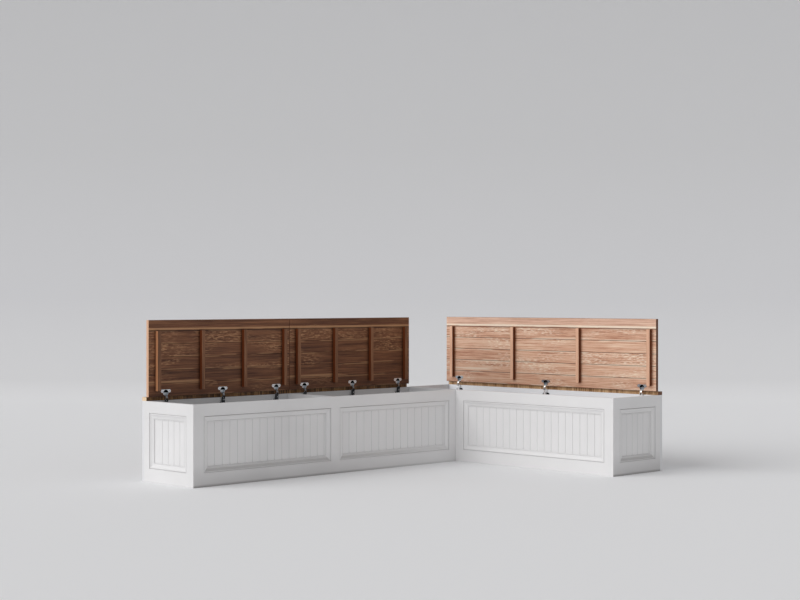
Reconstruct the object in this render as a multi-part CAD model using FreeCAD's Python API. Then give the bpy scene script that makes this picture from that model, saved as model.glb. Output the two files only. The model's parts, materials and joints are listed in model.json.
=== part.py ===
"""Corner storage bench: two box benches in an L, with painted panelled fronts and three hinged wood lids.

Millimetres. Z is up, the long leg runs along X with its front facing -Y, and the short leg runs along Y
with its front facing -X. The origin is on the floor under the middle of the bench's outer rectangle.
Lids are modelled closed and then turned open, because they stand open at rest.
"""
import FreeCAD, Part
import math
import os

Vector = FreeCAD.Vector

# The two legs
LONG_FRONT = 1960.0          # visible front of the long leg, from its free end to the inner corner
SHORT_FRONT = 1190.0         # visible front of the short leg, from the inner corner to its free end
LEG_DEPTH = 450.0            # front to back of either leg
BOX_HEIGHT = 430.0           # floor to the rim that the lids close on

# Board thicknesses of the carcass
FRAME_THICK = 22.0           # stiles and rails of the panelled walls, and the wall behind the corner
PANEL_THICK = 18.0           # plain back, end and partition boards
BOTTOM_THICK = 12.0
BOTTOM_RAISE = 20.0          # floor to the underside of the bottom boards
BEADBOARD_THICK = 9.0

# Face frame widths
TOP_RAIL = 62.0
BOTTOM_RAIL = 72.0
LONG_OUTER_STILE = 68.0
LONG_MIDDLE_STILE = 66.0
LONG_CORNER_STILE = 56.0
SHORT_CORNER_STILE = 65.0
SHORT_OUTER_STILE = 62.0
END_BACK_STILE = 64.0
END_FRONT_STILE = 60.0

# Panel moulding, mitred round each beadboard
MOULDING_WIDTH = 33.0
MOULDING_RISE = 12.4         # highest point above the beadboard
QUIRK_WIDTH = 2.6            # shadow step beside the frame
QUIRK_RISE = 8.5
CROWN_WIDTH = 6.5            # rounded edge inside the quirk
CROWN_ROUND = 2.0            # the crown's middle stands this far above its sides
COVE_FOOT_RISE = 4.0         # where the sloping cove ends, before the inner bead
COVE_HOLLOW = 1.2            # how far the cove dips below a straight slope
INNER_BEAD = 5.0
INNER_BEAD_RISE = 4.3
INNER_BEAD_SIDE = 2.0        # height of the bead's upright sides
INNER_BEAD_EASE = 1.4        # slope at each corner of the bead

# Beadboard grooves: width, depth, and per panel the first groove from the opening's left edge and the pitch
GROOVE_WIDTH = 5.0
GROOVE_DEPTH = 2.6
GROOVE_MARGIN = 5.0          # least distance from a groove to the moulding's inner edge
BAY_LEFT_FIRST, BAY_LEFT_PITCH = 79.0, 51.0
BAY_RIGHT_FIRST, BAY_RIGHT_PITCH = 82.0, 58.3
SHORT_FIRST, SHORT_PITCH = 97.0, 52.3
LEFT_END_FIRST, LEFT_END_PITCH = 101.0, 50.7
RIGHT_END_FIRST, RIGHT_END_PITCH = 79.0, 49.5

# Back strips and the rails under them
STRIP_DEPTH = 38.0           # front to back of the fixed wood strip behind the lids
HINGE_RAIL_REACH = 16.0      # the rail stands this far in front of the strip, under the lid's rear edge
HINGE_RAIL_HEIGHT = 80.0

# Lids
LID_THICK = 19.5
SEAT_GAP = 0.5               # closed lid to rim
REAR_GAP = 1.5               # closed lid to strip
CORNER_GAP = 5.0             # end of the long leg's lids and strip to the line of the short leg's front
LID_SEAM = 3.0               # between the two lids of the long leg
SEAM_OFFSET = -2.5           # middle of the seam from the middle of the partition
FRONT_BOARD = 57.0           # edge board of each lid
FIELD_BOARDS = 5             # equal boards behind the edge board
BOARD_EASE = 1.0             # eased long edges of every board
BATTEN_COUNT = 4
BATTEN_WIDTH = 22.0
BATTEN_PROUD = 20.0
BATTEN_REAR = 32.0           # from the lid's rear pivot line to a batten's rear end
BATTEN_FRONT = 353.0         # from the same line to its front end
BATTEN_END_LEFT = 57.0       # centre of the first batten from the lid's left end
BATTEN_END_RIGHT = 42.0      # centre of the last batten from the lid's right end

# Concealed cup hinges
HINGE_COUNT = 3
HINGE_END_LEFT = 112.0
HINGE_END_RIGHT = 98.0
CUP_CENTRE = 20.5            # from the lid's rear pivot line
CUP_RADIUS = 17.5
CUP_DEPTH = 11.5
CUP_WALL = 0.8
CUP_FIT = 0.1
FLANGE_LENGTH = 65.0
FLANGE_WIDTH = 17.0
FLANGE_THICK = 1.2
FLANGE_OFFSET = 9.5          # from the cup's centre to the middle of its wings
WING_CORNER = 5.5            # cut corners of the flange and of the mounting plate
PLATE_DROP = 28.0            # rim to the middle of the mounting plate
PLATE_LENGTH = 50.0
PLATE_HEIGHT = 18.0
PLATE_THICK = 2.0
ARM_OUTER = 14.4             # width over the arm's cheeks
ARM_SHEET = 1.2
ARM_STANDOFF = 3.0           # rail to the cheeks' near edge
ARM_RISE = 15.2              # rail to the arm's outer face
ARM_END_DROP = 44.0          # rim to the arm's lower end
ARM_OPEN_DROP = 4.0          # rim to the top of the arm's outer face, above which its tip is open
EAR_RADIUS = 3.0
PIN_RADIUS = 1.4
PIN_FLATS = 8
LINK_FIT = 0.4               # arm cheek to outer link cheek
PIN_END_FIT = 0.3            # pin ends to the cup's wall
SADDLE_FIT = 0.05            # mounting plate's saddle to the arm's cheeks
LINK_SHEET = 1.2
LINK_HALF_WIDTH = 1.6
LINK_PAST = 1.2              # a link runs this far past its pivots
LINK_BULGE = 4.6             # the outer link bows round the lid's rear edge
LINK_BENDS = 4
INNER_LINK_WIDTH = 6.0
INNER_LINK_LENGTH = 6.0
INNER_LINK_TILT = 3.0        # at rest, degrees from upright towards the rail
CUP_PIN_FORWARD = 7.8        # pivot line to the outer link's pin in the cup, lid closed
CUP_PIN_DEPTH = 2.5          # the same pin inside the cup from the lid's underside
OUTER_PIN_FORWARD = 31.0     # pivot line to the outer link's pin in the arm
OUTER_PIN_RISE = 6.2         # the same pin above the closed lid's underside
INNER_PIN_FORWARD = 23.0
INNER_PIN_RISE = 3.0

# Sizes that follow
LONG_SIDE = LONG_FRONT + LEG_DEPTH
SHORT_SIDE = SHORT_FRONT + LEG_DEPTH
OPENING_BOTTOM = BOTTOM_RAIL
OPENING_TOP = BOX_HEIGHT - TOP_RAIL
BEAD_RECESS = FRAME_THICK - BEADBOARD_THICK
LONG_BAY = (LONG_FRONT - LONG_OUTER_STILE - LONG_MIDDLE_STILE - LONG_CORNER_STILE) / 2
MIDDLE_STILE_START = LONG_OUTER_STILE + LONG_BAY
RIGHT_BAY_START = MIDDLE_STILE_START + LONG_MIDDLE_STILE
PARTITION_MIDDLE = MIDDLE_STILE_START + LONG_MIDDLE_STILE / 2
SHORT_OPENING_START = LEG_DEPTH + SHORT_CORNER_STILE
SHORT_OPENING = SHORT_SIDE - SHORT_OUTER_STILE - SHORT_OPENING_START
END_OPENING = LEG_DEPTH - END_BACK_STILE - END_FRONT_STILE
RAIL_FRONT = -STRIP_DEPTH - HINGE_RAIL_REACH
SEAT_HEIGHT = BOX_HEIGHT + SEAT_GAP + LID_THICK
LID_UNDER = -LID_THICK
LID_REACH = LEG_DEPTH - STRIP_DEPTH
LEFT_LID_LENGTH = PARTITION_MIDDLE + SEAM_OFFSET - LID_SEAM / 2
MIDDLE_LID_START = LEFT_LID_LENGTH + LID_SEAM
LONG_STRIP_END = LONG_FRONT - CORNER_GAP
MIDDLE_LID_LENGTH = LONG_STRIP_END - MIDDLE_LID_START
RIM = BOX_HEIGHT - SEAT_HEIGHT
# Hinge pins, as forward of and above the pivot line, with the lid closed
OUTER_CUP_PIN = (CUP_PIN_FORWARD, LID_UNDER + CUP_PIN_DEPTH)
OUTER_ARM_PIN = (OUTER_PIN_FORWARD, LID_UNDER + OUTER_PIN_RISE)
INNER_ARM_PIN = (INNER_PIN_FORWARD, LID_UNDER + INNER_PIN_RISE)


def placement(x, y, turn):
    """A frame on the floor at x, y, turned about Z by so many degrees."""
    return FreeCAD.Placement(Vector(x, y, 0), FreeCAD.Rotation(Vector(0, 0, 1), turn))


# Legs are drawn as seen from their front: X to the right from the left end, Y towards the back (back is 0).
# Walls are drawn the same way, with Y from 0 at the outer face into the wall.
LONG_LEG = placement(-LONG_SIDE / 2, SHORT_SIDE / 2, 0)
SHORT_LEG = placement(LONG_SIDE / 2, SHORT_SIDE / 2, -90)
LONG_WALL = placement(-LONG_SIDE / 2, SHORT_SIDE / 2 - LEG_DEPTH, 0)
LEFT_WALL = placement(-LONG_SIDE / 2, SHORT_SIDE / 2, -90)
SHORT_WALL = placement(LONG_SIDE / 2 - LEG_DEPTH, SHORT_SIDE / 2, -90)
RIGHT_WALL = placement(LONG_SIDE / 2 - LEG_DEPTH, -SHORT_SIDE / 2, 0)

nodes = {}


def keep(name, frame, solids):
    """Place solids drawn in a leg's or wall's frame, and store them as one named piece."""
    placed = nodes.setdefault(name, [])
    for solid in solids:
        moved = solid.copy()
        moved.Placement = frame.multiply(moved.Placement)
        placed.append(moved)


def block(x0, x1, y0, y1, z0, z1):
    return Part.makeBox(x1 - x0, y1 - y0, z1 - z0, Vector(x0, y0, z0))


def prism(points, direction):
    """A closed outline of straight edges, pushed along a direction."""
    wire = Part.makePolygon(points + [points[0]])
    return Part.Face(wire).extrude(direction)


# Panelled walls

def groove_places(width, first, pitch):
    last = width - MOULDING_WIDTH - GROOVE_MARGIN
    count = int((last - first) / pitch) + 1
    return [first + pitch * k for k in range(count)]


def beadboard(start, width, first, pitch):
    """Tongue-and-groove panel with a V groove at each joint, let in flush with the back of the frame."""
    points = [Vector(start, FRAME_THICK, OPENING_BOTTOM), Vector(start, BEAD_RECESS, OPENING_BOTTOM)]
    for place in groove_places(width, first, pitch):
        middle = start + place
        points.append(Vector(middle - GROOVE_WIDTH / 2, BEAD_RECESS, OPENING_BOTTOM))
        points.append(Vector(middle, BEAD_RECESS + GROOVE_DEPTH, OPENING_BOTTOM))
        points.append(Vector(middle + GROOVE_WIDTH / 2, BEAD_RECESS, OPENING_BOTTOM))
    points.append(Vector(start + width, BEAD_RECESS, OPENING_BOTTOM))
    points.append(Vector(start + width, FRAME_THICK, OPENING_BOTTOM))
    return prism(points, Vector(0, 0, OPENING_TOP - OPENING_BOTTOM))


def moulding_profile():
    """Section of the moulding: X across from the frame inwards, Z up from the beadboard."""
    def at(across, rise):
        return Vector(across, 0, rise)

    def straight(*points):
        return [Part.LineSegment(a, b) for a, b in zip(points, points[1:])]
    crown = QUIRK_WIDTH + CROWN_WIDTH
    shoulder = MOULDING_RISE - CROWN_ROUND
    foot = MOULDING_WIDTH - INNER_BEAD
    hollow = (shoulder + COVE_FOOT_RISE) / 2 - COVE_HOLLOW
    edges = straight(at(0, 0), at(0, QUIRK_RISE), at(QUIRK_WIDTH, QUIRK_RISE), at(QUIRK_WIDTH, shoulder))
    edges.append(Part.Arc(at(QUIRK_WIDTH, shoulder), at(QUIRK_WIDTH + CROWN_WIDTH / 2, MOULDING_RISE),
                          at(crown, shoulder)))
    edges.append(Part.Arc(at(crown, shoulder), at((crown + foot) / 2, hollow), at(foot, COVE_FOOT_RISE)))
    edges += straight(at(foot, COVE_FOOT_RISE), at(foot, INNER_BEAD_SIDE),
                      at(foot + INNER_BEAD_EASE, INNER_BEAD_RISE),
                      at(MOULDING_WIDTH - INNER_BEAD_EASE, INNER_BEAD_RISE),
                      at(MOULDING_WIDTH, INNER_BEAD_SIDE), at(MOULDING_WIDTH, 0), at(0, 0))
    return Part.Face(Part.Wire([edge.toShape() for edge in edges]))


def moulding_length(length):
    """One mitred length: along Y from 0, its outer edge on X = 0 and its back on Z = 0."""
    stick = moulding_profile().extrude(Vector(0, length, 0))
    mitres = prism([Vector(0, 0, 0), Vector(MOULDING_WIDTH, MOULDING_WIDTH, 0),
                    Vector(MOULDING_WIDTH, length - MOULDING_WIDTH, 0), Vector(0, length, 0)],
                   Vector(0, 0, MOULDING_RISE))
    return stick.common(mitres).Solids[0]


def moulding_frame(start, width):
    """Four mitred lengths round an opening, lying on the beadboard's face."""
    height = OPENING_TOP - OPENING_BOTTOM
    lengths = []
    # Each length is stood on the face with its outer edge on one side of the opening, going round.
    sides = ((0, 0, height, 0), (0, height, width, -90), (width, height, height, 180), (width, 0, width, 90))
    for right, up, length, turn in sides:
        piece = moulding_length(length)
        piece.rotate(Vector(0, 0, 0), Vector(0, 0, 1), turn)
        piece.translate(Vector(right, up, 0))
        piece.rotate(Vector(0, 0, 0), Vector(1, 0, 0), 90)
        piece.translate(Vector(start, BEAD_RECESS, OPENING_BOTTOM))
        lengths.append(piece)
    return lengths


def add_panel(prefix, suffix, wall, start, width, first, pitch):
    keep(prefix + "_beadboard" + suffix, wall, [beadboard(start, width, first, pitch)])
    keep(prefix + "_moulding" + suffix, wall, moulding_frame(start, width))


def stile(x0, x1, z0=0.0, z1=BOX_HEIGHT):
    return block(x0, x1, 0, FRAME_THICK, z0, z1)


def add_rails(prefix, wall, x0, x1):
    keep(prefix + "_top_rail", wall, [stile(x0, x1, OPENING_TOP, BOX_HEIGHT)])
    keep(prefix + "_bottom_rail", wall, [stile(x0, x1, 0, OPENING_BOTTOM)])


def add_long_front():
    corner_start = LONG_FRONT - LONG_CORNER_STILE
    keep("long_front_stile_outer", LONG_WALL, [stile(0, LONG_OUTER_STILE)])
    keep("long_front_stile_middle", LONG_WALL,
         [stile(MIDDLE_STILE_START, RIGHT_BAY_START, OPENING_BOTTOM, OPENING_TOP)])
    keep("long_front_stile_corner", LONG_WALL, [stile(corner_start, LONG_FRONT)])
    add_rails("long_front", LONG_WALL, LONG_OUTER_STILE, corner_start)
    add_panel("long_front", "_left", LONG_WALL, LONG_OUTER_STILE, LONG_BAY, BAY_LEFT_FIRST, BAY_LEFT_PITCH)
    add_panel("long_front", "_right", LONG_WALL, RIGHT_BAY_START, LONG_BAY, BAY_RIGHT_FIRST, BAY_RIGHT_PITCH)


def add_short_front():
    outer_start = SHORT_SIDE - SHORT_OUTER_STILE
    keep("short_front_stile_corner", SHORT_WALL, [stile(LEG_DEPTH, SHORT_OPENING_START)])
    keep("short_front_stile_outer", SHORT_WALL, [stile(outer_start, SHORT_SIDE)])
    add_rails("short_front", SHORT_WALL, SHORT_OPENING_START, outer_start)
    add_panel("short_front", "", SHORT_WALL, SHORT_OPENING_START, SHORT_OPENING, SHORT_FIRST, SHORT_PITCH)
    # The short leg's front goes on behind the long leg as a plain wall between the two boxes.
    keep("corner_wall", SHORT_WALL, [stile(0, LEG_DEPTH)])


def add_ends():
    # Left end, seen from outside: its back edge is on the left, and the front wall laps its right edge.
    keep("left_end_stile_back", LEFT_WALL, [stile(PANEL_THICK, END_BACK_STILE)])
    keep("left_end_stile_front", LEFT_WALL, [stile(LEG_DEPTH - END_FRONT_STILE, LEG_DEPTH - FRAME_THICK)])
    add_rails("left_end", LEFT_WALL, END_BACK_STILE, LEG_DEPTH - END_FRONT_STILE)
    add_panel("left_end", "", LEFT_WALL, END_BACK_STILE, END_OPENING, LEFT_END_FIRST, LEFT_END_PITCH)
    # Right end, seen from outside: its front edge is on the left.
    keep("right_end_stile_front", RIGHT_WALL, [stile(FRAME_THICK, END_FRONT_STILE)])
    keep("right_end_stile_back", RIGHT_WALL, [stile(LEG_DEPTH - END_BACK_STILE, LEG_DEPTH - PANEL_THICK)])
    add_rails("right_end", RIGHT_WALL, END_FRONT_STILE, LEG_DEPTH - END_BACK_STILE)
    add_panel("right_end", "", RIGHT_WALL, END_FRONT_STILE, END_OPENING, RIGHT_END_FIRST, RIGHT_END_PITCH)


# Plain carcass boards

def partition_board():
    """Board behind the middle stile, notched round the hinge rail."""
    front = -LEG_DEPTH + FRAME_THICK
    low = BOTTOM_RAISE + BOTTOM_THICK
    notch = BOX_HEIGHT - HINGE_RAIL_HEIGHT
    outline = [(front, low), (-PANEL_THICK, low), (-PANEL_THICK, notch), (RAIL_FRONT, notch),
               (RAIL_FRONT, BOX_HEIGHT), (front, BOX_HEIGHT)]
    points = [Vector(PARTITION_MIDDLE - PANEL_THICK / 2, y, z) for y, z in outline]
    return prism(points, Vector(PANEL_THICK, 0, 0))


def hinge_rail(x0, x1):
    return block(x0, x1, RAIL_FRONT, -PANEL_THICK, BOX_HEIGHT - HINGE_RAIL_HEIGHT, BOX_HEIGHT)


def bottom_board(x0, x1):
    return block(x0, x1, -LEG_DEPTH + FRAME_THICK, -PANEL_THICK, BOTTOM_RAISE, BOTTOM_RAISE + BOTTOM_THICK)


def add_carcass():
    keep("long_back_board", LONG_LEG, [block(0, LONG_FRONT, -PANEL_THICK, 0, 0, BOX_HEIGHT)])
    keep("long_bottom_board", LONG_LEG, [bottom_board(FRAME_THICK, LONG_FRONT)])
    keep("long_partition", LONG_LEG, [partition_board()])
    keep("long_hinge_rail", LONG_LEG, [hinge_rail(FRAME_THICK, LONG_FRONT)])
    keep("long_back_strip", LONG_LEG, [block(0, LONG_STRIP_END, -STRIP_DEPTH, 0, BOX_HEIGHT, SEAT_HEIGHT)])
    keep("short_back_board", SHORT_LEG, [block(0, SHORT_SIDE, -PANEL_THICK, 0, 0, BOX_HEIGHT)])
    keep("corner_end_board", SHORT_LEG,
         [block(0, PANEL_THICK, -LEG_DEPTH + FRAME_THICK, -PANEL_THICK, 0, BOX_HEIGHT)])
    keep("short_bottom_board", SHORT_LEG, [bottom_board(PANEL_THICK, SHORT_SIDE - FRAME_THICK)])
    keep("short_hinge_rail", SHORT_LEG, [hinge_rail(PANEL_THICK, SHORT_SIDE - FRAME_THICK)])
    keep("short_back_strip", SHORT_LEG, [block(0, SHORT_SIDE, -STRIP_DEPTH, 0, BOX_HEIGHT, SEAT_HEIGHT)])


# Lids and hinges are drawn from the pivot line, which is the top front edge of the back strip:
# "forward" is the distance in front of it and "rise" the height above it, with the lid closed.

def spot(x, forward, rise):
    return Vector(x, -STRIP_DEPTH - forward, SEAT_HEIGHT + rise)


def opened(solid):
    """Turn a piece of a lid from closed to standing open."""
    turned = solid.copy()
    turned.rotate(spot(0, 0, 0), Vector(1, 0, 0), -90)
    return turned


def lid_hinge_places(start, length):
    step = (length - HINGE_END_LEFT - HINGE_END_RIGHT) / (HINGE_COUNT - 1)
    return [start + HINGE_END_LEFT + step * k for k in range(HINGE_COUNT)]


def batten_places(start, length):
    step = (length - BATTEN_END_LEFT - BATTEN_END_RIGHT) / (BATTEN_COUNT - 1)
    return [start + BATTEN_END_LEFT + step * k for k in range(BATTEN_COUNT)]


def lid_board(x0, x1, near, far):
    """One board of a lid, full length, with its long edges eased so that each joint shows as a fine V."""
    ease = BOARD_EASE
    outline = [(near + ease, LID_UNDER), (far - ease, LID_UNDER), (far, LID_UNDER + ease), (far, -ease),
               (far - ease, 0), (near + ease, 0), (near, -ease), (near, LID_UNDER + ease)]
    return prism([spot(x0, forward, rise) for forward, rise in outline], Vector(x1 - x0, 0, 0))


def lid_boards(start, length):
    field = (LID_REACH - FRONT_BOARD - REAR_GAP) / FIELD_BOARDS
    edges = [REAR_GAP + field * k for k in range(FIELD_BOARDS + 1)] + [LID_REACH]
    boards = []
    for near, far in zip(edges, edges[1:]):
        board = lid_board(start, start + length, near, far)
        for place in lid_hinge_places(start, length):
            if near < CUP_CENTRE + CUP_RADIUS:
                board = board.cut(cup_bore(place))
        boards.append(board)
    return boards


def lid_battens(start, length):
    battens = []
    for place in batten_places(start, length):
        near = spot(place - BATTEN_WIDTH / 2, BATTEN_FRONT, LID_UNDER - BATTEN_PROUD)
        battens.append(Part.makeBox(BATTEN_WIDTH, BATTEN_FRONT - BATTEN_REAR, BATTEN_PROUD, near))
    return battens


def upright(place, forward, low, high, radius):
    """Round bar standing across the lid's thickness."""
    return Part.makeCylinder(radius, high - low, spot(place, forward, low))


def cup_bore(place):
    return upright(place, CUP_CENTRE, LID_UNDER, LID_UNDER + CUP_DEPTH + CUP_FIT, CUP_RADIUS + CUP_FIT)


def polar(centre, radius, degrees):
    angle = math.radians(degrees)
    return (centre[0] + radius * math.cos(angle), centre[1] + radius * math.sin(angle))


def pin_bar(place, pin, half_width):
    """Pin lying along the lid's length, centred on a hinge, with eight flats."""
    step = 360 / PIN_FLATS
    points = [polar(pin, PIN_RADIUS, step * (k + 0.5)) for k in range(PIN_FLATS)]
    start = place - half_width
    return prism([spot(start, forward, rise) for forward, rise in points], Vector(2 * half_width, 0, 0))


def winged(half_length, near, far, corner):
    """Outline of a flat plate with cut corners, from near to far across it."""
    return [(-half_length, near + corner), (-half_length + corner, near), (half_length - corner, near),
            (half_length, near + corner), (half_length, far - corner), (half_length - corner, far),
            (-half_length + corner, far), (-half_length, far - corner)]


def hinge_cup(place):
    """Drawn steel cup, open towards the box, with the winged flange that it is screwed on by."""
    under = LID_UNDER - FLANGE_THICK
    near = CUP_CENTRE + FLANGE_OFFSET - FLANGE_WIDTH / 2
    outline = winged(FLANGE_LENGTH / 2, near, near + FLANGE_WIDTH, WING_CORNER)
    flange = prism([spot(place + x, forward, under) for x, forward in outline], Vector(0, 0, FLANGE_THICK))
    cup = upright(place, CUP_CENTRE, LID_UNDER, LID_UNDER + CUP_DEPTH, CUP_RADIUS)
    inside = LID_UNDER + CUP_DEPTH - CUP_WALL
    bore = upright(place, CUP_CENTRE, under, inside, CUP_RADIUS - CUP_WALL)
    return cup.fuse(flange).cut(bore).removeSplitter()


def mounting_plate(place):
    """Plate with two wings, fixed to the rail, and the raised saddle that the arm rides on."""
    middle = RIM - PLATE_DROP
    low = middle - PLATE_HEIGHT / 2
    outline = winged(PLATE_LENGTH / 2, low, low + PLATE_HEIGHT, WING_CORNER)
    points = [spot(place + x, HINGE_RAIL_REACH, rise) for x, rise in outline]
    plate = prism(points, Vector(0, -PLATE_THICK, 0))
    half = ARM_OUTER / 2 - ARM_SHEET - SADDLE_FIT
    saddle_low = RIM - ARM_END_DROP + ARM_SHEET
    saddle_rise = ARM_RISE - ARM_SHEET
    saddle = Part.makeBox(2 * half, saddle_rise, middle + PLATE_HEIGHT / 2 - saddle_low,
                          spot(place - half, HINGE_RAIL_REACH + saddle_rise, saddle_low))
    return plate.fuse(saddle).removeSplitter()


def arm_cheek(x):
    """Side of the arm: a long flat cheek that ends in a raised ear where the two links turn."""
    near = HINGE_RAIL_REACH + ARM_STANDOFF
    outer = HINGE_RAIL_REACH + ARM_RISE
    low = RIM - ARM_END_DROP
    open_from = RIM - ARM_OPEN_DROP
    pin, pin_rise = OUTER_ARM_PIN
    inner, inner_rise = INNER_ARM_PIN
    ear = EAR_RADIUS
    outline = [(near, low), (outer, low), (outer, open_from),
               (pin + ear, pin_rise - ear / 2), (pin + ear, pin_rise + ear / 2),
               (pin + ear / 2, pin_rise + ear), (pin - ear, pin_rise + ear),
               (inner - ear, inner_rise + ear), (inner - ear, open_from),
               (near, open_from - ARM_OPEN_DROP)]
    return prism([spot(x, forward, rise) for forward, rise in outline], Vector(ARM_SHEET, 0, 0))


def hinge_arm(place):
    """Folded steel arm: two cheeks and an outer face, open at the tip where the links swing."""
    half = ARM_OUTER / 2
    outer = HINGE_RAIL_REACH + ARM_RISE
    corner = spot(place - half, outer, RIM - ARM_END_DROP)
    face = Part.makeBox(ARM_OUTER, ARM_SHEET, ARM_END_DROP - ARM_OPEN_DROP, corner)
    return face.fuse(arm_cheek(place - half)).fuse(arm_cheek(place + half - ARM_SHEET)).removeSplitter()


def link_strap(x, width, start, end, bulge):
    """Link from pivot to pivot, bowed to one side, and carried a little past each pivot."""
    span = math.dist(start, end)
    turn = math.degrees(math.atan2(end[1] - start[1], end[0] - start[0]))
    past = LINK_PAST / span
    shares = [-past] + [k / LINK_BENDS for k in range(LINK_BENDS + 1)] + [1 + past]
    line = [polar(start, share * span, turn) for share in shares]
    bows = [bulge * (1 - (2 * share - 1) ** 2) for share in shares]
    upper = [polar(point, bow + LINK_HALF_WIDTH, turn + 90) for point, bow in zip(line, bows)]
    lower = [polar(point, bow - LINK_HALF_WIDTH, turn + 90) for point, bow in zip(line, bows)]
    points = [spot(x, forward, rise) for forward, rise in upper + lower[::-1]]
    return prism(points, Vector(width, 0, 0))


def outer_link(place):
    """Two bowed cheeks joined by a web, from the pin that turns in the cup to the arm's outer pivot."""
    start = (-OUTER_CUP_PIN[1], OUTER_CUP_PIN[0])
    end = OUTER_ARM_PIN
    half = ARM_OUTER / 2 - ARM_SHEET - LINK_FIT
    link = link_strap(place - half, 2 * half, start, end, LINK_BULGE)
    # The space between the cheeks is cut out, up to the web on the bowed side.
    turn = math.degrees(math.atan2(end[1] - start[1], end[0] - start[0]))
    middle = ((start[0] + end[0]) / 2, (start[1] + end[1]) / 2)
    crest = polar(middle, LINK_BULGE + LINK_HALF_WIDTH - LINK_SHEET, turn + 90)
    reach = math.dist(start, end)
    hollow = half - LINK_SHEET
    room = Part.makeBox(2 * hollow, 2 * reach, reach, Vector(place - hollow, -reach, -reach))
    room.rotate(Vector(0, 0, 0), Vector(1, 0, 0), -turn)
    room.translate(spot(0, crest[0], crest[1]))
    # The pin in the cup is as long as the cup is wide there.
    aside = CUP_CENTRE - OUTER_CUP_PIN[0] + PIN_RADIUS
    chord = math.sqrt((CUP_RADIUS - CUP_WALL) ** 2 - aside ** 2)
    return link.cut(room).fuse(pin_bar(place, start, chord - PIN_END_FIT)).removeSplitter()


def inner_link(place):
    """Short plain link between the outer link's cheeks, with the axle that turns in the arm's cheeks."""
    end = polar(INNER_ARM_PIN, INNER_LINK_LENGTH, 90 + INNER_LINK_TILT)
    half = INNER_LINK_WIDTH / 2
    link = link_strap(place - half, 2 * half, INNER_ARM_PIN, end, 0)
    axle = ARM_OUTER / 2 - ARM_SHEET - PIN_END_FIT
    return link.fuse(pin_bar(place, INNER_ARM_PIN, axle)).removeSplitter()


def add_lid(name, leg, start, length):
    places = lid_hinge_places(start, length)
    keep(name + "_lid_boards", leg, [opened(board) for board in lid_boards(start, length)])
    keep(name + "_lid_battens", leg, [opened(batten) for batten in lid_battens(start, length)])
    keep(name + "_hinge_cups", leg, [opened(hinge_cup(place)) for place in places])
    keep(name + "_hinge_outer_links", leg, [outer_link(place) for place in places])
    keep(name + "_hinge_inner_links", leg, [inner_link(place) for place in places])
    keep("hinge_mounting_plates", leg, [mounting_plate(place) for place in places])
    keep("hinge_arms", leg, [hinge_arm(place) for place in places])


add_long_front()
add_short_front()
add_ends()
add_carcass()
add_lid("left", LONG_LEG, 0, LEFT_LID_LENGTH)
add_lid("middle", LONG_LEG, MIDDLE_LID_START, MIDDLE_LID_LENGTH)
add_lid("right", SHORT_LEG, 0, SHORT_SIDE)

os.makedirs("parts", exist_ok=True)
for node_name, node_solids in nodes.items():
    shape = node_solids[0] if len(node_solids) == 1 else Part.makeCompound(node_solids)
    shape.exportStep("parts/" + node_name + ".step")
print(len(nodes), "nodes,", sum(len(solids) for solids in nodes.values()), "pieces")
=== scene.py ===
"""Looks of a corner storage bench in painted wood, with three hinged wood lids, built round its CAD frame."""

import json
import math

import bmesh
import bpy
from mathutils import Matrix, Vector

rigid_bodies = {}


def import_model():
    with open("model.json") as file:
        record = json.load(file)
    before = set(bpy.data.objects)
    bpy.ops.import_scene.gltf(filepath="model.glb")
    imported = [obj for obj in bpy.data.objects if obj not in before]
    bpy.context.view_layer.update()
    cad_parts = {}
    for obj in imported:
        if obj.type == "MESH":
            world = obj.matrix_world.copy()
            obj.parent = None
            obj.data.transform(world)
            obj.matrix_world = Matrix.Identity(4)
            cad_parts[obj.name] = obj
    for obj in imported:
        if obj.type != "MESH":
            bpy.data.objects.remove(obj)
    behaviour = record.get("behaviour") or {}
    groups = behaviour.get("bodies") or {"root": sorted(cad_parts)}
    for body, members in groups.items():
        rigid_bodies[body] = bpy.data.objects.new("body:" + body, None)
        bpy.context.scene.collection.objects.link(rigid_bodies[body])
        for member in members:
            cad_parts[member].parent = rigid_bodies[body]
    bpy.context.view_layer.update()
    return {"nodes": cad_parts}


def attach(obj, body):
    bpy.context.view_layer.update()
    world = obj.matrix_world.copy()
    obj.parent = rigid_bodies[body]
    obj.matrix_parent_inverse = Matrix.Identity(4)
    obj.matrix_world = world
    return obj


for item in list(bpy.data.objects):
    bpy.data.objects.remove(item)
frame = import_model()

# Panelled walls: stiles, rails, beadboards and mitred mouldings of the fronts and both ends.
# Real ones are softwood and board, primed and sprayed with satin enamel after they are glued up.
# The film is smooth with a slight orange peel, and a soft sheen that turns bright towards a lamp.


def linear(code):
    """An sRGB hex colour as linear red, green, blue and alpha."""
    parts = [int(code[k:k + 2], 16) / 255 for k in (1, 3, 5)]
    return [v / 12.92 if v <= 0.04045 else ((v + 0.055) / 1.055) ** 2.4 for v in parts] + [1.0]


def add(tree, kind, feeds=(), out=0, stops=(), **settings):
    """Adds a node with its settings and a ramp's stops, links or fills its sockets, and returns one output."""
    node = tree.nodes.new(kind)
    for name, value in settings.items():
        setattr(node, name, value)
    for key, value in feeds.items() if isinstance(feeds, dict) else enumerate(feeds):
        if isinstance(value, bpy.types.NodeSocket):
            tree.links.new(value, node.inputs[key])
        else:
            node.inputs[key].default_value = value
    for k, (position, code) in enumerate(stops):
        ends = node.color_ramp.elements
        element = ends[k] if k < 2 else ends.new(position)
        element.position, element.color = position, linear(code)
    return node.outputs[out] if len(node.outputs) else node


def finish_named(name, **shader):
    """A new material with its tree and shader; the shader's plain values are set on its sockets."""
    material = bpy.data.materials.new(name)
    material.use_nodes = True
    bsdf = material.node_tree.nodes["Principled BSDF"]
    for key, value in shader.items():
        bsdf.inputs[key.replace("_", " ")].default_value = value
    return material, material.node_tree, bsdf


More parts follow.
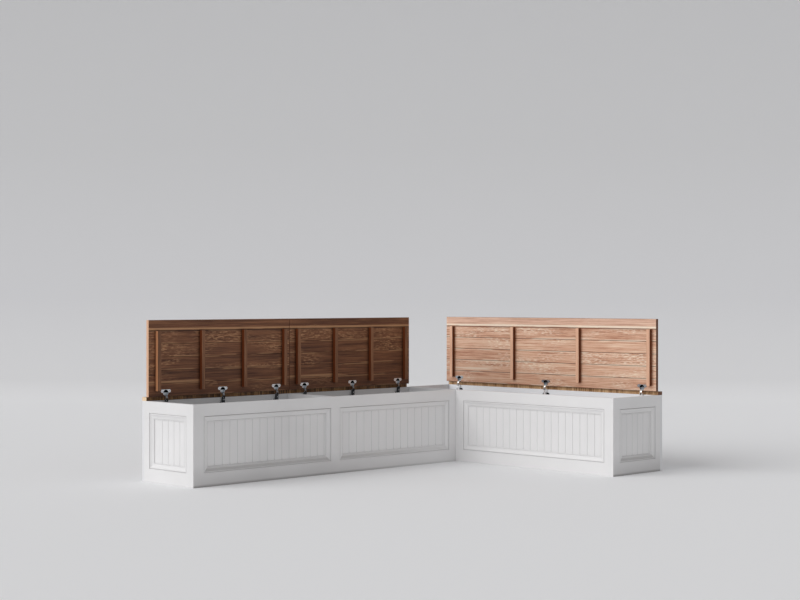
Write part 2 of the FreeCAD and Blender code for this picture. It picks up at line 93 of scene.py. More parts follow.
def dress(material, names):
    """Gives a finish to CAD nodes."""
    for name in names:
        mesh = frame["nodes"][name].data
        mesh.materials.clear()
        mesh.materials.append(material)


INNER_CORNER = (0.755, 0.370, 0.10)     # where the two fronts meet, near the floor
paint, tree, bsdf = finish_named("satin_enamel_on_wood", Roughness=0.42, IOR=1.5)
place = add(tree, "ShaderNodeTexCoord", out="Object")
# Spray passes leave the film a touch uneven, some 300 mm apart.
passes = add(tree, "ShaderNodeTexNoise", {"Vector": place, "Scale": 3.3, "Detail": 2.0})
tone = add(tree, "ShaderNodeValToRGB", [passes], stops=[(0.3, "#E4E3E3"), (0.7, "#EBEAEA")])
# Painted shade greys the slopes of the mouldings that face up, on the shaded side and below 400 mm,
# and all the corners within 7 mm of a quirk or groove.
facing = add(tree, "ShaderNodeSeparateXYZ", [add(tree, "ShaderNodeTexCoord", out="Normal")]).node.outputs
shaded_side = add(tree, "ShaderNodeMapRange", [facing["Y"], -0.50, -0.20, 1.0, 0.0])
# Near the inner corner the paint is painted lighter as painted bounce light, and the painted shade fades there.
from_corner = add(tree, "ShaderNodeVectorMath", [place, INNER_CORNER], out="Value", operation="DISTANCE")
corner_bounce_light = add(tree, "ShaderNodeMapRange", [from_corner, 0.10, 1.00, 1.0, 0.0])
tone = add(tree, "ShaderNodeMix", {0: corner_bounce_light, 6: tone, 7: linear("#EEEDED")}, out=2, data_type="RGBA")
corner_fade = add(tree, "ShaderNodeMapRange", [from_corner, 0.10, 1.00, 0.35, 1.0])
shaded_side = add(tree, "ShaderNodeMath", [shaded_side, corner_fade], operation="MULTIPLY")
slope_shade = add(tree, "ShaderNodeMapRange", [facing["Z"], 0.10, 0.35, 0.0, 1.0])
slope_shade = add(tree, "ShaderNodeMath", [slope_shade, shaded_side], operation="MULTIPLY")
height = add(tree, "ShaderNodeSeparateXYZ", [place], out="Z")
low = add(tree, "ShaderNodeMath", [height, 0.40], operation="LESS_THAN")
slope_shade = add(tree, "ShaderNodeMath", [slope_shade, low], operation="MULTIPLY")
tone = add(tree, "ShaderNodeMix", {0: slope_shade, 6: tone, 7: linear("#C4C2C1")}, out=2, data_type="RGBA")
corner = add(tree, "ShaderNodeAmbientOcclusion", {"Distance": 0.007}, out="AO", samples=8)
corner = add(tree, "ShaderNodeMapRange", [corner, 0.35, 0.95, 0.22, 0.0])
tone = add(tree, "ShaderNodeMix", {0: corner, 6: tone, 7: linear("#9C9998")}, out=2, data_type="RGBA")
# The shaded side is painted darker over its lowest 120 mm, darkest in the last 14 mm: painted shade and contact
# shadow.
floor_shade = add(tree, "ShaderNodeMapRange", [height, 0.0, 0.120, 0.36, 0.0])
contact_shadow = add(tree, "ShaderNodeMapRange", [height, 0.0, 0.014, 0.60, 0.0])
floor_shade = add(tree, "ShaderNodeMath", [floor_shade, contact_shadow], operation="ADD")
floor_shade = add(tree, "ShaderNodeMath", [floor_shade, shaded_side], operation="MULTIPLY")
tone = add(tree, "ShaderNodeMix", {0: floor_shade, 6: tone, 7: linear("#8E8B8A")}, out=2, data_type="RGBA")
tree.links.new(tone, bsdf.inputs["Base Color"])
# Orange peel of about 3 mm.
peel = add(tree, "ShaderNodeTexNoise", {"Vector": place, "Scale": 330.0, "Detail": 1.0})
lift = add(tree, "ShaderNodeBump", {"Height": peel, "Strength": 0.12, "Distance": 0.0004})
tree.links.new(lift, bsdf.inputs["Normal"])
walls = ("long_front", "short_front", "left_end", "right_end")
dress(paint, [name for name in frame["nodes"] if name.startswith(walls)])

# Carcass boards: backs, bottoms, partition, the wall behind the corner, and the rails under the strips.
# They are chipboard faced with melamine, screwed and dowelled together; the rails are grey and bright copies of it.
# Melamine is flatter and duller than the paint, with a fine pearl texture from its press plate.
for name, tones, pieces in (
        ("white_melamine_boards", ("#E0E0E2", "#E8E8E9"),
         ["long_back_board", "long_bottom_board", "long_partition", "short_back_board", "short_bottom_board",
          "corner_wall", "corner_end_board"]),
        # Painted shade and painted light: the long leg's grey rail is a shaded copy of the melamine, the short one's
        # a lit copy.
        ("shaded_copy_melamine_rail", ("#C1C1C2", "#C9C9CA"), ["long_hinge_rail"]),
        ("lit_copy_melamine_rail", ("#F0F2F6", "#F5F7FA"), ["short_hinge_rail"])):
    melamine, tree, bsdf = finish_named(name, Roughness=0.5, IOR=1.5)
    place = add(tree, "ShaderNodeTexCoord", out="Object")
    # The pearls are about 1.5 mm across.
    pearl = add(tree, "ShaderNodeTexNoise", {"Vector": place, "Scale": 600.0, "Detail": 1.0})
    tone = add(tree, "ShaderNodeValToRGB", [pearl], stops=[(0.3, tones[0]), (0.7, tones[1])])
    tree.links.new(tone, bsdf.inputs["Base Color"])
    lift = add(tree, "ShaderNodeBump", {"Height": pearl, "Strength": 0.2, "Distance": 0.0003})
    tree.links.new(lift, bsdf.inputs["Normal"])
    dress(melamine, pieces)

# Lid boards: six boards of brown hardwood edge-glued into each lid, with eased edges.
# They are planed, sanded and sealed with a satin oil, and the underside shows while the lid stands open.
# Straight fine grain runs along them, with flecks, a pale sapwood edge at the front board, and dark joints.
FIRST_EDGE = 0.4515          # lower edge of the first board while the lid stands open
BOARD = 0.0707               # width of the five field boards
FRONT_EDGE = 0.805           # joint of the front board
BATTEN_FIRST = 0.057         # middle of the first batten from the lid's left end
BATTEN_HALF = 0.011          # half a batten's width
BATTEN_LOW, BATTEN_HIGH = 0.482, 0.803
BATTEN_SHADE_WIDTH = 0.016                # width of the painted shade beside a batten
LONG_UNDER, SHORT_UNDER = 0.764, 1.149  # just inside the undersides, along Y and along X
# The left and middle lids take a shaded copy of one walnut and the right lid's underside a lit copy: painted shade
# and light.
SHADED_WALNUT = ("#432617", "#71472F", "#956545")      # dark, middle and pale tone
LIT_WALNUT = ("#A36A4D", "#DCAC90", "#F1D4B9")


def grain(tree, along, start, shift):
    """Even streaks 0 to 1 along one axis, with the distances along, across and through that they follow."""
    place = add(tree, "ShaderNodeSeparateXYZ", [add(tree, "ShaderNodeTexCoord", out="Object")]).node.outputs
    length, across, depth = (place[k] for k in {"X": (0, 2, 1), "Y": (1, 2, 0), "Z": (2, 0, 1)}[along])
    sign = -1.0 if along == "Y" else 1.0
    length = add(tree, "ShaderNodeMath", [length, sign, -sign * start], operation="MULTIPLY_ADD")
    # Real fibres are under 1 mm; the widest octave is drawn some 6 mm across and 150 mm long, to show.
    board = add(tree, "ShaderNodeMath", [across, -FIRST_EDGE], operation="ADD")
    board = add(tree, "ShaderNodeMath", [board, BOARD], operation="DIVIDE")
    board = add(tree, "ShaderNodeMath", [board], operation="FLOOR")
    own = add(tree, "ShaderNodeTexWhiteNoise",
              {"W": add(tree, "ShaderNodeMath", [board, shift], operation="ADD")}, noise_dimensions="1D")
    far = add(tree, "ShaderNodeMath", [own, 7.0, length], operation="MULTIPLY_ADD")
    spot = add(tree, "ShaderNodeCombineXYZ", [far, across, depth])
    fine = add(tree, "ShaderNodeVectorMath", [spot, (4.5, 200.0, 200.0)], operation="MULTIPLY")
    fine = add(tree, "ShaderNodeTexNoise", {"Vector": fine, "Scale": 1.0, "Detail": 4.0, "Roughness": 0.70})
    # Broad bands 40 mm across and 500 mm long.
    broad = add(tree, "ShaderNodeVectorMath", [spot, (2.0, 25.0, 25.0)], operation="MULTIPLY")
    broad = add(tree, "ShaderNodeTexNoise", {"Vector": broad, "Scale": 1.0, "Detail": 2.0})
    value = add(tree, "ShaderNodeMath", [fine, 1.25, -0.275], operation="MULTIPLY_ADD")
    value = add(tree, "ShaderNodeMath", [broad, 0.30, value], operation="MULTIPLY_ADD")
    return value, own, spot, length, across, depth


def faces(tree, axis):
    """1 where the surface faces either way along one of the piece's own axes."""
    way = add(tree, "ShaderNodeSeparateXYZ", [add(tree, "ShaderNodeTexCoord", out="Normal")], out=axis)
    way = add(tree, "ShaderNodeMath", [way], operation="ABSOLUTE")
    return add(tree, "ShaderNodeMath", [way, 0.7], operation="GREATER_THAN")


def boards(name, along, start, shift, spacing, side, under, tones, pale, dark, ends, streak, shade_reach, slant):
    """Oiled boards; pale is the sapwood, dark the glue joints and the painted shade beside each batten on one side.

    Painted shade darkens the boards low on the lid, up to a given height, and slant lowers that height along the
    length.
    """
    material, tree, bsdf = finish_named(name, Roughness=0.42, IOR=1.5, Specular_IOR_Level=0.3)
    value, own, spot, length, across, depth = grain(tree, along, start, shift)
    value = add(tree, "ShaderNodeMath", [own, 0.10, value], operation="MULTIPLY_ADD")
    colour = add(tree, "ShaderNodeValToRGB", [value], stops=[(0.32, tones[0]), (0.78, tones[2]), (0.55, tones[1])])
    pale, dark = linear(pale), linear(dark)
    if tones != SHADED_WALNUT:
        # On this lit copy the front board is mixed paler still. The top and the front edge take the shaded copy's
        # brown.
        front = add(tree, "ShaderNodeMapRange", [across, FRONT_EDGE + 0.014, FRONT_EDGE + 0.016, 0.0, 0.35])
        colour = add(tree, "ShaderNodeMix", {0: front, 6: colour, 7: linear("#E6C6B4")}, out=2, data_type="RGBA")
        top = add(tree, "ShaderNodeMath", [depth, under + 0.014], operation="GREATER_THAN")
        top = add(tree, "ShaderNodeMath", [top, faces(tree, "Z")], operation="MAXIMUM")
        brown = add(tree, "ShaderNodeValToRGB", [value],
                    stops=[(0.32, SHADED_WALNUT[0]), (0.78, SHADED_WALNUT[2]), (0.55, SHADED_WALNUT[1])])
        colour = add(tree, "ShaderNodeMix", {0: top, 6: colour, 7: brown}, out=2, data_type="RGBA")
        pale = add(tree, "ShaderNodeMix", {0: top, 6: pale, 7: linear("#BA8B64")}, out=2, data_type="RGBA")
        dark = add(tree, "ShaderNodeMix", {0: top, 6: dark, 7: linear("#2A140A")}, out=2, data_type="RGBA")
    # Flecks 4 mm by 30 mm, gathered in patches 100 mm by 300 mm.
    fleck = add(tree, "ShaderNodeVectorMath", [spot, (34.0, 250.0, 250.0)], operation="MULTIPLY")
    fleck = add(tree, "ShaderNodeTexNoise", {"Vector": fleck, "Scale": 1.0, "Detail": 2.0})
    fleck = add(tree, "ShaderNodeMapRange", [fleck, 0.50, 0.62, 0.0, 1.0])
    patch = add(tree, "ShaderNodeVectorMath", [spot, (3.3, 10.0, 10.0)], operation="MULTIPLY")
    patch = add(tree, "ShaderNodeTexNoise", {"Vector": patch, "Scale": 1.0, "Detail": 1.0})
    for limits in ([0.70, 0.78, 0.0, 0.10], [FRONT_EDGE + 0.014, FRONT_EDGE + 0.016, 0.0, -0.25]):
        more = add(tree, "ShaderNodeMapRange", [across] + limits)
        patch = add(tree, "ShaderNodeMath", [patch, more], operation="ADD")
    patch = add(tree, "ShaderNodeMapRange", [patch, 0.50, 0.66, 0.0, 0.85])
    fleck = add(tree, "ShaderNodeMath", [fleck, patch], operation="MULTIPLY")
    colour = add(tree, "ShaderNodeMix", {0: fleck, 6: colour, 7: pale}, out=2, data_type="RGBA")
    # Dark joints 2 mm wide, and here and there a pale line beside one.
    joint = add(tree, "ShaderNodeMath", [across, -FIRST_EDGE], operation="ADD")
    joint = add(tree, "ShaderNodeMath", [joint, BOARD / 2], operation="PINGPONG")
    line = add(tree, "ShaderNodeMapRange", [joint, 0.0012, 0.0034, 0.55, 0.0])
    beside = add(tree, "ShaderNodeMapRange", [joint, 0.0030, 0.0085, 0.8, 0.0])
    where = add(tree, "ShaderNodeVectorMath", [spot, (5.0, 16.0, 16.0)], operation="MULTIPLY")
    where = add(tree, "ShaderNodeTexNoise", {"Vector": where, "Scale": 1.0, "Detail": 1.0})
    where = add(tree, "ShaderNodeMapRange", [where, 0.46, 0.56, 0.0, 1.0])
    beside = add(tree, "ShaderNodeMath", [beside, where], operation="MULTIPLY")
    colour = add(tree, "ShaderNodeMix", {0: beside, 6: colour, 7: pale}, out=2, data_type="RGBA")
    colour = add(tree, "ShaderNodeMix", {0: line, 6: colour, 7: dark}, out=2, data_type="RGBA")
    # The front board's rear edge is sapwood, 10 mm wide; below it the joint widens into a band of painted shadow.
    edge = add(tree, "ShaderNodeMath", [across, FRONT_EDGE + 0.009], operation="SUBTRACT")
    edge = add(tree, "ShaderNodeMath", [edge], operation="ABSOLUTE")
    edge = add(tree, "ShaderNodeMapRange", [edge, 0.0040, 0.0060, 0.9, 0.0])
    colour = add(tree, "ShaderNodeMix", {0: edge, 6: colour, 7: pale}, out=2, data_type="RGBA")
    joint_shadow = add(tree, "ShaderNodeMath", [across, FRONT_EDGE - 0.003], operation="SUBTRACT")
    joint_shadow = add(tree, "ShaderNodeMath", [joint_shadow], operation="ABSOLUTE")
    joint_shadow = add(tree, "ShaderNodeMapRange", [joint_shadow, 0.0020, 0.0050, 0.6, 0.0])
    colour = add(tree, "ShaderNodeMix", {0: joint_shadow, 6: colour, 7: dark}, out=2, data_type="RGBA")
    # One pale streak on the second board widens from 4 to 12 mm and ends after 400 mm.
    off = add(tree, "ShaderNodeMath", [across, streak], operation="SUBTRACT")
    off = add(tree, "ShaderNodeMath", [off], operation="ABSOLUTE")
    half = add(tree, "ShaderNodeMath", [length, 0.011, 0.002], operation="MULTIPLY_ADD")
    off = add(tree, "ShaderNodeMath", [off, half], operation="SUBTRACT")
    off = add(tree, "ShaderNodeMapRange", [off, -0.001, 0.003, 0.75, 0.0])
    fade = add(tree, "ShaderNodeMapRange", [length, 0.34, 0.42, 1.0, 0.0])
    streak = add(tree, "ShaderNodeMath", [off, fade], operation="MULTIPLY")
    colour = add(tree, "ShaderNodeMix", {0: streak, 6: colour, 7: pale}, out=2, data_type="RGBA")
    # Painted shade: the underside is darkened in a band along one side of each batten, where the batten shades it.
    first = BATTEN_FIRST - BATTEN_HALF - BATTEN_SHADE_WIDTH if side < 0 else BATTEN_FIRST + BATTEN_HALF
    along_batten = add(tree, "ShaderNodeMath", [length, spacing - first], operation="ADD")
    along_batten = add(tree, "ShaderNodeMath", [along_batten, spacing], operation="MODULO")
    batten_shade = add(tree, "ShaderNodeMapRange", [along_batten, 0.0, BATTEN_SHADE_WIDTH] + ([0.0, 1.0] if side < 0 else [1.0, 0.0]))
    for test in ([along_batten, BATTEN_SHADE_WIDTH], [across, BATTEN_HIGH], [depth, under]):
        test = add(tree, "ShaderNodeMath", test, operation="LESS_THAN")
        batten_shade = add(tree, "ShaderNodeMath", [batten_shade, test], operation="MULTIPLY")
    above = add(tree, "ShaderNodeMath", [across, BATTEN_LOW], operation="GREATER_THAN")
    batten_shade = add(tree, "ShaderNodeMath", [batten_shade, above], operation="MULTIPLY")
    batten_shade = add(tree, "ShaderNodeMath", [batten_shade, 0.8], operation="MULTIPLY")
    colour = add(tree, "ShaderNodeMix", {0: batten_shade, 6: colour, 7: dark}, out=2, data_type="RGBA")
    # Painted shade: the boards nearest the hinges are darker, on the right lid more so towards its start.
    low = add(tree, "ShaderNodeMath", [length, slant, across], operation="MULTIPLY_ADD")
    low = add(tree, "ShaderNodeMapRange", [low, 0.46, shade_reach, 0.32, 0.0])
    colour = add(tree, "ShaderNodeMix", {0: low, 6: colour, 7: dark}, out=2, data_type="RGBA")
    # End grain tone: pale on the left lid's lit end, dark on the right lid's shaded end: painted light and painted
    # shade.
    colour = add(tree, "ShaderNodeMix", {0: faces(tree, along), 6: colour, 7: linear(ends)}, out=2, data_type="RGBA")
    tree.links.new(colour, bsdf.inputs["Base Color"])
    lift = add(tree, "ShaderNodeBump", {"Height": value, "Strength": 0.25, "Distance": 0.0005})
    tree.links.new(lift, bsdf.inputs["Normal"])
    return material


dress(boards("oiled_walnut_left_lid", "X", -1.205, 3.0, 0.2943, -1, LONG_UNDER, SHADED_WALNUT, "#BA8B64", "#2A140A",
             "#DDB090", 0.530, 0.54, 0.0), ["left_lid_boards"])
dress(boards("oiled_walnut_middle_lid", "X", -0.220, 21.0, 0.2903, -1, LONG_UNDER, SHADED_WALNUT, "#BA8B64", "#2A140A",
             "#6E4733", 0.530, 0.54, 0.0), ["middle_lid_boards"])
dress(boards("oiled_walnut_right_lid", "Y", 0.820, 47.0, 0.5137, 1, SHORT_UNDER, LIT_WALNUT, "#F8E6D0",
             "#7C4018", "#5E3218", 0.541, 0.80, 0.18), ["right_lid_boards"])

# Lid battens: four bars across each lid's underside that keep the six boards flat.
# They are of the same hardwood, planed square and screwed on, with the grain running up and down.
# Their sides are painted darker than the planed face, as painted shade.
# The long leg's battens take a shaded copy of the wood's tones and the right lid's a lit copy: painted shade and
# light.
for lid, axis, shift, tones, side in (("left", "X", 61.0, ("#5F3F2B", "#875C41", "#AC7E5B"), "#783D1F"),
                                      ("middle", "X", 83.0, ("#5F3F2B", "#875C41", "#AC7E5B"), "#783D1F"),
                                      ("right", "Y", 105.0, ("#CB987C", "#EBBC9D", "#F7D7BD"), "#6B3920")):
    batten, tree, bsdf = finish_named("oiled_walnut_battens_" + lid, Roughness=0.42, IOR=1.5,
                                      Specular_IOR_Level=0.3)
    value = grain(tree, "Z", 0.0, shift)[0]
    colour = add(tree, "ShaderNodeValToRGB", [value], stops=[(0.32, tones[0]), (0.78, tones[2]), (0.55, tones[1])])
    # Painted highlight: the sides of the long leg's outermost batten, which the lamp reaches, are pale.
    lit_outer_batten = add(tree, "ShaderNodeSeparateXYZ", [add(tree, "ShaderNodeTexCoord", out="Object")])
    lit_outer_batten = add(tree, "ShaderNodeMath", [lit_outer_batten, -1.12], operation="LESS_THAN")
    painted_side_tone = add(tree, "ShaderNodeMix", {0: lit_outer_batten, 6: linear(side), 7: linear("#CC8F66")}, out=2, data_type="RGBA")
    colour = add(tree, "ShaderNodeMix", {0: faces(tree, axis), 6: colour, 7: painted_side_tone}, out=2, data_type="RGBA")
    tree.links.new(colour, bsdf.inputs["Base Color"])
    lift = add(tree, "ShaderNodeBump", {"Height": value, "Strength": 0.25, "Distance": 0.0005})
    tree.links.new(lift, bsdf.inputs["Normal"])
    dress(batten, [lid + "_lid_battens"])

# Back strips: fixed bars behind the lids, of the same hardwood, screwed down on the back boards.
# Their front edge shows short upright stripes, because the strip is glued up from crosswise offcuts.
# Painted light and shade: the long strip is a shaded copy with lit ends, the short strip a lit copy with shaded ends.
for name, axis, tones, ends in (("long", "X", ("#3F2A15", "#785432", "#AD8658"), "#EED3B0"),
                                ("short", "Y", ("#8A6240", "#C49A6E", "#E3C196"), "#6A452E")):
    strip, tree, bsdf = finish_named("oiled_walnut_" + name + "_strip", Roughness=0.45, IOR=1.5,
                                     Specular_IOR_Level=0.3)
    spot = add(tree, "ShaderNodeTexCoord", out="Object")
    length = add(tree, "ShaderNodeSeparateXYZ", [spot], out=axis)
    # Offcuts 8 to 20 mm wide, each with its own tone.
    slow = add(tree, "ShaderNodeMath", [length, 26.0], operation="MULTIPLY")
    slow = add(tree, "ShaderNodeTexNoise", {"W": slow, "Detail": 1.0}, noise_dimensions="1D")
    cell = add(tree, "ShaderNodeMath", [length, 74.0], operation="MULTIPLY")
    cell = add(tree, "ShaderNodeMath", [slow, 5.0, cell], operation="MULTIPLY_ADD")
    cell = add(tree, "ShaderNodeMath", [cell], operation="FLOOR")
    own = add(tree, "ShaderNodeTexWhiteNoise", {"W": cell}, noise_dimensions="1D")
    # Fibres 2 mm apart run from front to back.
    stretch = (500.0, 20.0, 60.0) if axis == "X" else (20.0, 500.0, 60.0)
    fibre = add(tree, "ShaderNodeVectorMath", [spot, stretch], operation="MULTIPLY")
    fibre = add(tree, "ShaderNodeTexNoise", {"Vector": fibre, "Scale": 1.0, "Detail": 3.0})
    value = add(tree, "ShaderNodeMath", [own, 0.5], operation="MULTIPLY")
    value = add(tree, "ShaderNodeMath", [fibre, 0.5, value], operation="MULTIPLY_ADD")
    colour = add(tree, "ShaderNodeValToRGB", [value], stops=[(0.2, tones[0]), (0.8, tones[2]), (0.5, tones[1])])
    colour = add(tree, "ShaderNodeMix", {0: faces(tree, axis), 6: colour, 7: linear(ends)}, out=2, data_type="RGBA")
    tree.links.new(colour, bsdf.inputs["Base Color"])
    lift = add(tree, "ShaderNodeBump", {"Height": fibre, "Strength": 0.25, "Distance": 0.0005})
    tree.links.new(lift, bsdf.inputs["Normal"])
    dress(strip, [name + "_back_strip"])

# Hinge cups: drawn steel cups in the lids with winged flanges, three to a lid, plated with nickel.
# The flange is bright and slightly drawn where it was pressed; the bowl inside is painted dark, painted shade.


def plated(name, rough, under, changes=()):
    """Plated steel of two close tones; each change lays a tone over all that is beyond a place on an axis."""
    material, tree, bsdf = finish_named(name, Metallic=1.0, Roughness=rough)
    spot = add(tree, "ShaderNodeTexCoord", out="Object")
    # Press marks about 4 mm across.
    drawn = add(tree, "ShaderNodeTexNoise", {"Vector": spot, "Scale": 240.0, "Detail": 2.0})
    colour = add(tree, "ShaderNodeValToRGB", [drawn], stops=[(0.3, under[0]), (0.7, under[1])])
    for over, limits in changes:
        factor = 1.0
        for axis, beyond in limits:
            past = add(tree, "ShaderNodeSeparateXYZ", [spot], out=axis)
            past = add(tree, "ShaderNodeMath", [past, beyond], operation="GREATER_THAN")
            factor = add(tree, "ShaderNodeMath", [past, factor], operation="MULTIPLY")
        colour = add(tree, "ShaderNodeMix", {0: factor, 6: colour, 7: linear(over)}, out=2, data_type="RGBA")
    tree.links.new(colour, bsdf.inputs["Base Color"])
    lift = add(tree, "ShaderNodeBump", {"Height": drawn, "Strength": 0.15, "Distance": 0.0002})
    tree.links.new(lift, bsdf.inputs["Normal"])
    return material


# Painted shade inside the bowl: mid grey below the links and near black above them.
# The two legs' cups are copies of one plating in different tones, painted for how each leg is lit.
for lid, axis, mouth, tones, bowl_low_shade, bowl_deep_shade in (
        ("left", "Y", 0.7627, ("#DFE4EA", "#F4F7FA"), "#C4C9CE", "#060708"),
        ("middle", "Y", 0.7627, ("#DFE4EA", "#F4F7FA"), "#C4C9CE", "#060708"),
        ("right", "X", 1.1477, ("#9AA0A7", "#BCC1C6"), "#A9AEB3", "#3A3D40")):
    dress(plated("nickel_plated_cups_" + lid, 0.3, tones,
                 [(bowl_low_shade, [(axis, mouth)]), (bowl_deep_shade, [(axis, mouth), ("Z", 0.4715)])]), [lid + "_hinge_cups"])

# Hinge links: a bowed outer link and a short inner one carry each cup from the arm's two pins.
# They are stamped from zinc-plated strip: the outer ones are grey on the long leg and bright on the short one,
# shaded and lit copies, and the inner ones are near black: painted shade and painted light.
ON_SHORT_LEG = [("X", 0.9)]
dress(plated("grey_zinc_plated_links", 0.35, ("#7D8288", "#A9AEB4"), [("#FBFCFD", ON_SHORT_LEG)]),
      [lid + "_hinge_outer_links" for lid in ("left", "middle", "right")])
dress(plated("shade_dark_zinc_plated_links", 0.4, ("#1C1D1F", "#2C2E30")),
      [lid + "_hinge_inner_links" for lid in ("left", "middle", "right")])

# Hinge arms and mounting plates: folded arms clip on plates that are screwed to the rails.
# On the long leg the arms are dark zinc and the plates nickel; on the short leg it is the other way round, with
# bright arms on black plates.
# The long leg's dark arms and the short leg's bright arms are shaded and lit copies of one plating: painted shade and
# light.
dress(plated("zinc_plated_arms", 0.45, ("#3F4246", "#5A5D61"), [("#FBFCFD", ON_SHORT_LEG)]), ["hinge_arms"])
dress(plated("nickel_and_black_plates", 0.4, ("#D3D6D9", "#E9EBED"), [("#1E1F21", ON_SHORT_LEG)]),
      ["hinge_mounting_plates"])

# Hinge screws: two hold each cup's wings, two each mounting plate, and two adjust each arm.
# They are pan heads with a cross recess, turned from bright steel wire and zinc plated.
LONG_HINGES = {"left_lid": (-1.093, -0.707, -0.321), "middle_lid": (-0.108, 0.272, 0.652)}
SHORT_HINGES = {"right_lid": (0.708, -0.007, -0.722)}
HINGES = LONG_HINGES | SHORT_HINGES
LONG_PIVOT, SHORT_PIVOT, PIVOT_HEIGHT = 0.782, 1.167, 0.450


def around(hinges, offsets):
    """Places and directions round hinges of either leg; an offset is along, forward, up, and the way it faces."""
    found = []
    for lid, places in hinges.items():
        for place in places:
            for along, forward, up, way in offsets:
                if lid in LONG_HINGES:
                    found.append(((place + along, LONG_PIVOT - forward, PIVOT_HEIGHT + up), (way[0], -way[1], 0)))
                else:
                    found.append(((SHORT_PIVOT - forward, place - along, PIVOT_HEIGHT + up), (-way[1], -way[0], 0)))
    return found


def tree_named(name, sizes):
    """A geometry tree with a Geometry input, named sizes and a material."""
    tree = bpy.data.node_groups.new(name, "GeometryNodeTree")
    tree.interface.new_socket("Geometry", in_out="INPUT", socket_type="NodeSocketGeometry")
    for size in sizes:
        tree.interface.new_socket(size, in_out="INPUT", socket_type="NodeSocketFloat")
    tree.interface.new_socket("Material", in_out="INPUT", socket_type="NodeSocketMaterial")
    tree.interface.new_socket("Geometry", in_out="OUTPUT", socket_type="NodeSocketGeometry")
    return tree, add(tree, "NodeGroupInput").node.outputs


def set_out(tree, head, given):
    """Stands a head on each point, turned the way the point faces, and closes the tree."""
    way = add(tree, "GeometryNodeInputNamedAttribute", ["facing"], data_type="FLOAT_VECTOR")
    turn = add(tree, "FunctionNodeAlignRotationToVector", {"Vector": way}, axis="Z")
    points = add(tree, "GeometryNodeMeshToPoints", [given["Geometry"]])
    heads = add(tree, "GeometryNodeInstanceOnPoints", {"Points": points, "Instance": head, "Rotation": turn})
    heads = add(tree, "GeometryNodeRealizeInstances", [heads])
    heads = add(tree, "GeometryNodeSetMaterial", {"Geometry": heads, "Material": given["Material"]})
    add(tree, "NodeGroupOutput", [heads])


def make(name, body, tree, places, values):
    """Runs a tree on points, keeps its plain mesh as one piece, and lets it ride on a body."""
    mesh = bpy.data.meshes.new(name)
    mesh.from_pydata([place for place, way in places], [], [])
    facing = mesh.attributes.new("facing", "FLOAT_VECTOR", "POINT")
    facing.data.foreach_set("vector", [v for place, way in places for v in way])
    carrier = bpy.data.objects.new(name + "_points", mesh)
    bpy.context.scene.collection.objects.link(carrier)
    modifier = carrier.modifiers.new("heads", "NODES")
    modifier.node_group = tree
    for item in tree.interface.items_tree:
        if item.in_out == "INPUT" and item.name in values:
            modifier[item.identifier] = values[item.name]
    made = bpy.data.meshes.new_from_object(carrier.evaluated_get(bpy.context.evaluated_depsgraph_get()))
    carrier.modifiers.remove(modifier)
    bpy.data.objects.remove(carrier)
    piece = bpy.data.objects.new(name, made)
    bpy.context.scene.collection.objects.link(piece)
    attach(piece, body)


screw_tree, given = tree_named("cross_recess_screws", ("Radius", "Rise"))
head = add(screw_tree, "GeometryNodeMeshCone",
           {"Vertices": 18, "Radius Top": 0.72, "Radius Bottom": 1.0, "Depth": 1.0})
slots = []
for size in ((1.15, 0.26, 1.0), (0.26, 1.15, 1.0)):
    slot = add(screw_tree, "GeometryNodeMeshCube", [size])
    slots.append(add(screw_tree, "GeometryNodeTransform", {"Geometry": slot, "Translation": (0, 0, 1.0)}))
for slot in slots:
    cut = add(screw_tree, "GeometryNodeMeshBoolean", {"Mesh 2": slot}, operation="DIFFERENCE")
    screw_tree.links.new(head, cut.node.inputs["Mesh 1"])
    head = cut
size = add(screw_tree, "ShaderNodeCombineXYZ", [given["Radius"], given["Radius"], given["Rise"]])
head = add(screw_tree, "GeometryNodeTransform", {"Geometry": head, "Scale": size})
set_out(screw_tree, head, given)
screw_steel = plated("bright_zinc_screws", 0.3, ("#B9BEC4", "#DDE1E5"))
FORWARD = (0, 1, 0)
for lid in HINGES:
    wings = around({lid: HINGES[lid]}, [(side * 0.024, 0.0206, 0.030, FORWARD) for side in (-1, 1)])
    make(lid.replace("_lid", "_cup_screws"), lid, screw_tree, wings,
         {"Radius": 0.0036, "Rise": 0.0016, "Material": screw_steel})
fixings = around(HINGES, [(side * 0.0165, 0.0180, -0.048, FORWARD) for side in (-1, 1)])
make("plate_screws", "bench", screw_tree, fixings,
     {"Radius": 0.0034, "Rise": 0.0016, "Material": plated("black_zinc_screws", 0.4, ("#1E1F21", "#303134"))})
turners = around(HINGES, [(0.0, 0.0311, up, FORWARD) for up in (-0.057, -0.033)])
make("adjusting_screws", "bench", screw_tree, turners, {"Radius": 0.0030, "Rise": 0.0012, "Material": screw_steel})

# Pivot rivets: domed heads of the two pins that the links turn on, one each side of every arm.
# They are upset from soft steel in a cup tool, so they are smooth low domes.
rivet_tree, given = tree_named("domed_rivets", ("Radius", "Rise"))
dome = add(rivet_tree, "GeometryNodeMeshUVSphere", {"Segments": 14, "Rings": 8, "Radius": 1.0})
size = add(rivet_tree, "ShaderNodeCombineXYZ", [given["Radius"], given["Radius"], given["Rise"]])
dome = add(rivet_tree, "GeometryNodeTransform", {"Geometry": dome, "Scale": size})
set_out(rivet_tree, dome, given)
pins = around(HINGES, [(side * 0.0072, forward, up, (side, 0, 0)) for side in (-1, 1)
                       for forward, up in ((0.031, -0.0133), (0.023, -0.0165))])
make("pivot_rivets", "bench", rivet_tree, pins, {"Radius": 0.0020, "Rise": 0.0009, "Material": screw_steel})

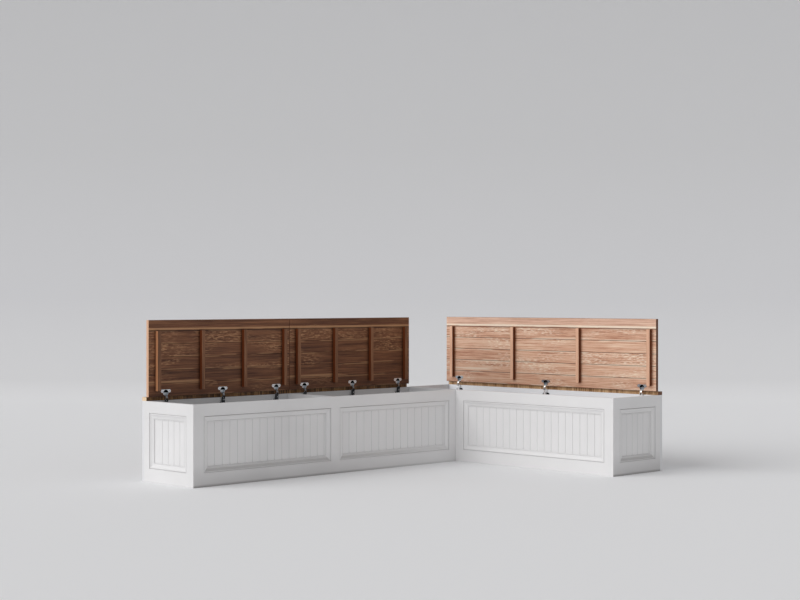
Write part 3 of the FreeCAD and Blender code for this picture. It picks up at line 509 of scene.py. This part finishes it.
# Floor and backdrop: one pale sheet that runs from the floor up behind the bench, square to the camera.
# It is matt paper, painted a little greyer as it rises: painted shade for the dimmer light higher up.
EYE = Vector((-6.0985, -6.1261, 0.9675))
YAW = 0.77676                # from +Y towards +X
ahead = Vector((math.sin(YAW), math.cos(YAW), 0))
aside = Vector((math.cos(YAW), -math.sin(YAW), 0))
foot = Vector((EYE.x, EYE.y, 0))
sweep_start, sweep_radius, sweep_height, half_width = 15.0, 5.0, 14.0, 30.0
line = [(-30.0, 0.0), (sweep_start, 0.0)]
line += [(sweep_start + sweep_radius * math.sin(math.radians(a)), sweep_radius * (1 - math.cos(math.radians(a))))
         for a in range(5, 91, 5)]
line.append((sweep_start + sweep_radius, sweep_height))
sheet = bmesh.new()
rows = [[sheet.verts.new(foot + ahead * d + aside * s + Vector((0, 0, h))) for s in (-half_width, half_width)]
        for d, h in line]
for low, high in zip(rows, rows[1:]):
    sheet.faces.new((low[0], low[1], high[1], high[0])).smooth = True
mesh = bpy.data.meshes.new("sweep")
sheet.to_mesh(mesh)
sheet.free()
sweep = bpy.data.objects.new("sweep", mesh)
bpy.context.scene.collection.objects.link(sweep)
paper, tree, bsdf = finish_named("matt_pale_paper", Roughness=0.9, Specular_IOR_Level=0.2)
height = add(tree, "ShaderNodeSeparateXYZ", [add(tree, "ShaderNodeTexCoord", out="Object")], out="Z")
height = add(tree, "ShaderNodeMapRange", [height, 0.0, 5.0, 0.0, 1.0])
tone = add(tree, "ShaderNodeValToRGB", [height],
           stops=[(0.0, "#F2F2F3"), (1.0, "#D9D9DA"), (0.03, "#E6E6E7"), (0.20, "#DCDCDE"), (0.58, "#D7D7D8")])
tree.links.new(tone, bsdf.inputs["Base Color"])
mesh.materials.append(paper)

# Light: an even pale surround, and one wide soft lamp at the left, a little behind the bench.
# The surround is a little dimmer overhead, and the lamp's 60 degrees keep its shadows soft.
world = bpy.data.worlds.new("surround")
bpy.context.scene.world = world
world.use_nodes = True
sky = world.node_tree
up = add(sky, "ShaderNodeSeparateXYZ", [add(sky, "ShaderNodeTexCoord", out="Generated")], out="Z")
sky.links.new(add(sky, "ShaderNodeMapRange", [up, 0.0, 1.0, 0.55, 0.46]), sky.nodes["Background"].inputs["Strength"])
sky.nodes["Background"].inputs["Color"].default_value = linear("#F6F6F7")
lamp = bpy.data.lights.new("soft_lamp", "SUN")
lamp.energy = 1.58
lamp.angle = math.radians(60)
soft_lamp = bpy.data.objects.new("soft_lamp", lamp)
soft_lamp.rotation_euler = Vector((0.79, -0.33, -0.53)).to_track_quat("-Z", "Y").to_euler()
bpy.context.scene.collection.objects.link(soft_lamp)

# Camera at the photograph's place, at eye height, level and turned to the inner corner.
# Its focal length is 1567 pixels on a frame 800 pixels wide, or about 70 mm on a 36 mm sensor.
lens = bpy.data.cameras.new("camera")
lens.sensor_width = 36.0
lens.lens = 1567.0 / 800 * lens.sensor_width
camera = bpy.data.objects.new("camera", lens)
camera.location = EYE
camera.rotation_euler = (math.pi / 2 + 0.0002, 0, -YAW)
bpy.context.scene.collection.objects.link(camera)
bpy.context.scene.camera = camera
bpy.context.scene.view_settings.view_transform = "Standard"
